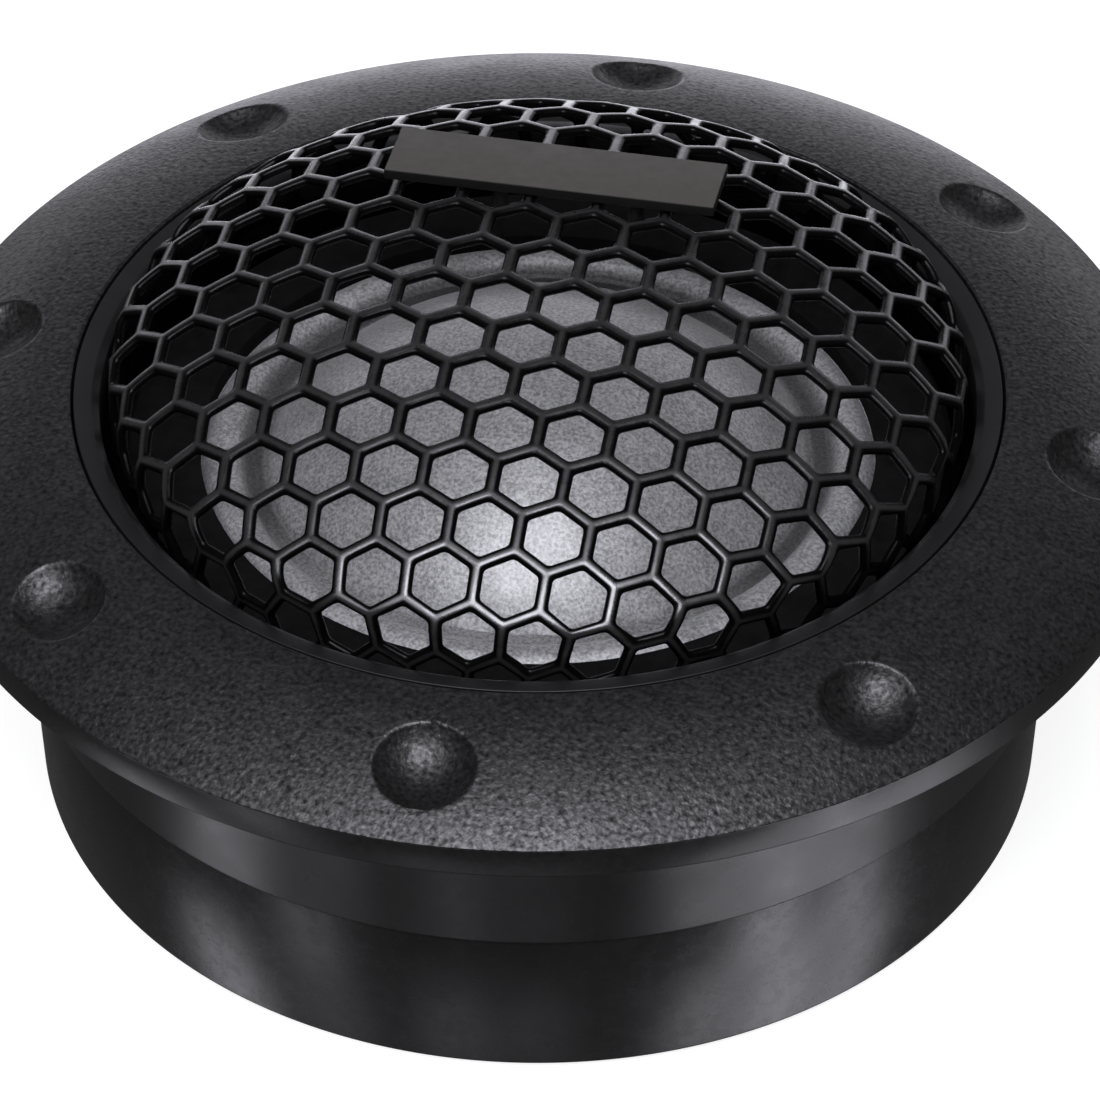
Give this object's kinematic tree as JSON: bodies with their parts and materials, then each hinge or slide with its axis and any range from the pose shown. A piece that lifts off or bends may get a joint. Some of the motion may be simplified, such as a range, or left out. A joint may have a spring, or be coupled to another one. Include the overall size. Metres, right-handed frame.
{
  "type": "car tweeter",
  "caption": "Flush-mount soft-dome car tweeter with a crowned flange, a domed hexagon-mesh grille and a closed cylindrical rear cup.",
  "frame": {"origin": "centre of the flange's underside, the plane that sits on the panel", "axes": "+Z along the sound axis, from the panel towards the listener; +Y from the middle of the face towards the nameplate"},
  "size_m": [0.058, 0.058, 0.0276],
  "materials": {
    "moulded_plastic": "matte black, fine moulded grain",
    "bezel_plastic": "smooth satin black",
    "cup_plastic": "smooth satin black",
    "inner_plastic": "matte black",
    "grille_metal": "graphite black, glossy edges",
    "plate_metal": "plain mid grey, matte",
    "dome_cloth": "silver-grey coated cloth with a fine speckle",
    "surround_cloth": "silver-grey coated cloth, slightly glossy",
    "former_foil": "thin foil",
    "coil_copper": "enamelled copper winding",
    "lead_copper": "braided copper",
    "motor_steel": "zinc plated",
    "magnet_plating": "nickel plated",
    "felt": "pressed grey felt",
    "board_fibre": "hard brown fibre board",
    "terminal_brass": "tinned brass",
    "rivet_metal": "plated",
    "screw_steel": "zinc plated",
    "black_screw_steel": "black oxide",
    "foam": "open-cell grey foam",
    "grommet_rubber": "matte rubber"
  },
  "bodies": {
    "housing": {"faceplate": "moulded_plastic", "grille_bezel": "bezel_plastic", "grille": "grille_metal", "nameplate": "plate_metal", "diaphragm_ring": "inner_plastic", "chassis": "inner_plastic", "surround": "surround_cloth", "lead_wire_positive": "lead_copper", "lead_wire_negative": "lead_copper", "pole_plate": "motor_steel", "magnet": "magnet_plating", "yoke_cup": "motor_steel", "pole_damping_pad": "felt", "terminal_board": "board_fibre", "terminal_positive": "terminal_brass", "terminal_negative": "terminal_brass", "terminal_rivets": "rivet_metal", "chassis_screws": "screw_steel", "rear_cup": "cup_plastic", "chamber_foam": "foam", "cable_grommet": "grommet_rubber", "cup_screws": "black_screw_steel"},
    "diaphragm": {"dome": "dome_cloth", "coil_former": "former_foil", "voice_coil": "coil_copper"}
  },
  "joints": [
    {"name": "diaphragm_travel", "type": "slide", "parent": "housing", "child": "diaphragm", "axis": [0, 0, 1], "range_m": [-0.0004, 0.0004], "stiffness_N_per_m": 2000, "deforming": ["surround", "lead_wire_positive", "lead_wire_negative"]}
  ]
}
